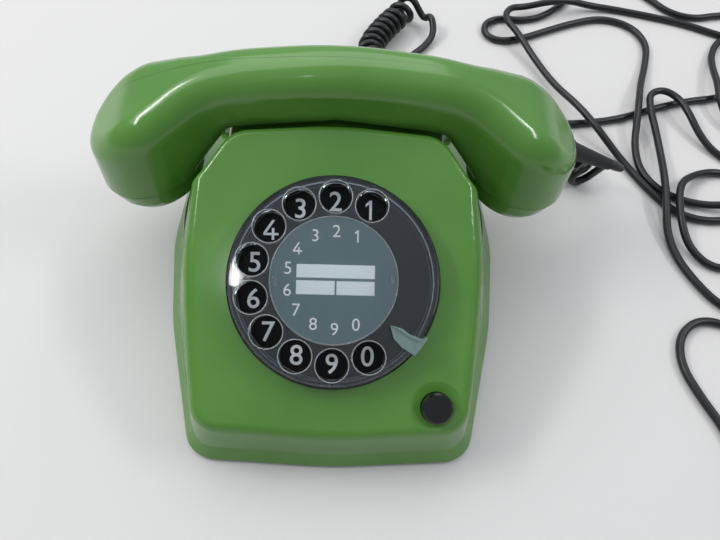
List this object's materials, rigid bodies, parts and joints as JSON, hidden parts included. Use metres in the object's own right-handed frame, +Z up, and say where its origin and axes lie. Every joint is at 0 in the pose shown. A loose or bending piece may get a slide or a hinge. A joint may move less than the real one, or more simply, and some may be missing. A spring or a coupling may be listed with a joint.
{
  "type": "rotary desk telephone",
  "caption": "Desk telephone with a rotary dial, a push button, a handset resting on its hook, and loose cords.",
  "frame": {"origin": "on the table, under the middle of the telephone without its free cords", "axes": "+X to the viewer's right along the handset, +Y from the dial to the back, +Z up"},
  "size_m": [0.4088, 0.431, 0.1144],
  "materials": {
    "green_plastic": "glossy moulded",
    "black_plastic": "glossy moulded",
    "clear_acrylic": "polished, slightly smoky",
    "dial_card": "printed card",
    "light_metal": "satin",
    "sheet_steel": "plated sheet",
    "bright_steel": "turned",
    "gong_metal": "turned bell metal",
    "brass": "machined",
    "rubber_black": "moulded rubber",
    "cord_black": "smooth sheath",
    "grey_plastic": "moulded",
    "plug_plastic": "moulded",
    "board": "laminate",
    "winding": "enamelled wire",
    "capacitor_can": "metal can",
    "lead_sheath": "thin sheath"
  },
  "bodies": {
    "root": {"upper_case": "green_plastic", "dial_ring": "black_plastic", "number_plate": "black_plastic", "finger_stop": "light_metal", "base_plate": "sheet_steel", "ringer_frame": "sheet_steel", "hook_frame": "sheet_steel", "dial_housing": "sheet_steel", "dial_back_plate": "sheet_steel", "transformer_core": "sheet_steel", "case_screws": "bright_steel", "gong_screws": "bright_steel", "hook_pin": "bright_steel", "hook_spring": "bright_steel", "dial_spring": "bright_steel", "button_spring": "bright_steel", "gong_large": "gong_metal", "gong_small": "gong_metal", "switch_contacts": "brass", "pulse_contacts": "brass", "button_contacts": "brass", "plug_pins": "brass", "rubber_feet": "rubber_black", "handset_cord_gland": "rubber_black", "line_cord_gland": "rubber_black", "curly_cord": "cord_black", "line_cord_coil": "cord_black", "line_cord": "cord_black", "line_cord_end": "cord_black", "curly_cord_handset_end": "cord_black", "curly_cord_case_end": "cord_black", "button_guide": "grey_plastic", "cord_clamp": "grey_plastic", "terminal_block": "grey_plastic", "plug_body": "plug_plastic", "coil_tie": "plug_plastic", "circuit_board": "board", "transformer_winding": "winding", "ringer_coils": "winding", "capacitor": "capacitor_can", "inner_wires": "lead_sheath"},
    "handset": {"handset_shell": "green_plastic", "handset_strain_relief": "rubber_black", "ear_cap": "green_plastic", "mouth_cap": "green_plastic", "receiver_capsule": "grey_plastic", "microphone_capsule": "grey_plastic", "cup_holders": "grey_plastic", "handset_wires": "lead_sheath"},
    "hook_plungers": {"hook_plungers": "grey_plastic"},
    "hook_lever": {"hook_lever": "grey_plastic"},
    "dial": {"finger_wheel": "clear_acrylic", "dial_card": "dial_card", "card_cover": "clear_acrylic", "dial_shaft": "bright_steel", "dial_gear": "brass"},
    "governor": {"governor": "brass"},
    "push_button": {"push_button": "black_plastic"},
    "clapper": {"clapper": "bright_steel"},
    "volume_wheel": {"volume_wheel": "grey_plastic"}
  },
  "joints": [
    {"name": "handset_lift", "type": "slide", "parent": "root", "child": "handset", "axis": [0, 0, 1], "range_m": [0, 0.08]},
    {"name": "plunger_rise", "type": "slide", "parent": "root", "child": "hook_plungers", "axis": [0, 0, 1], "range_m": [0, 0.005]},
    {"name": "lever_turn", "type": "hinge", "parent": "root", "child": "hook_lever", "pos_m": [0, 0.065, 0.0625], "axis": [-1, 0, 0], "range_deg": [0, 15.58]},
    {"name": "dial_turn", "type": "hinge", "parent": "root", "child": "dial", "pos_m": [0, -0.0263, 0.05901], "axis": [0, 0.4352, -0.9003], "range_deg": [0, 314], "stiffness_Nm_per_rad": 0.012, "springref_deg": -45.84},
    {"name": "governor_spin", "type": "hinge", "parent": "root", "child": "governor", "pos_m": [-0.01782, -0.04234, 0.05126], "axis": [0, 0.4352, -0.9003], "range_deg": [-1884, 0]},
    {"name": "button_press", "type": "slide", "parent": "root", "child": "push_button", "axis": [0, 0.4352, -0.9003], "range_m": [0, 0.003], "stiffness_N_per_m": 250, "springref_m": -0.003},
    {"name": "clapper_swing", "type": "hinge", "parent": "root", "child": "clapper", "pos_m": [0, 0.014, 0.04], "axis": [0, 0, 1], "range_deg": [-9, 9]},
    {"name": "volume_turn", "type": "hinge", "parent": "root", "child": "volume_wheel", "pos_m": [-0.044, 0.01, 0.003], "axis": [0, 0, 1], "range_deg": [0, 90]}
  ],
  "couplings": [
    {"joint": "plunger_rise", "follows": "handset_lift", "ratio": 0.0625},
    {"joint": "lever_turn", "follows": "handset_lift", "rad_per_m": 3.4},
    {"joint": "governor_spin", "follows": "dial_turn", "ratio": -6}
  ]
}
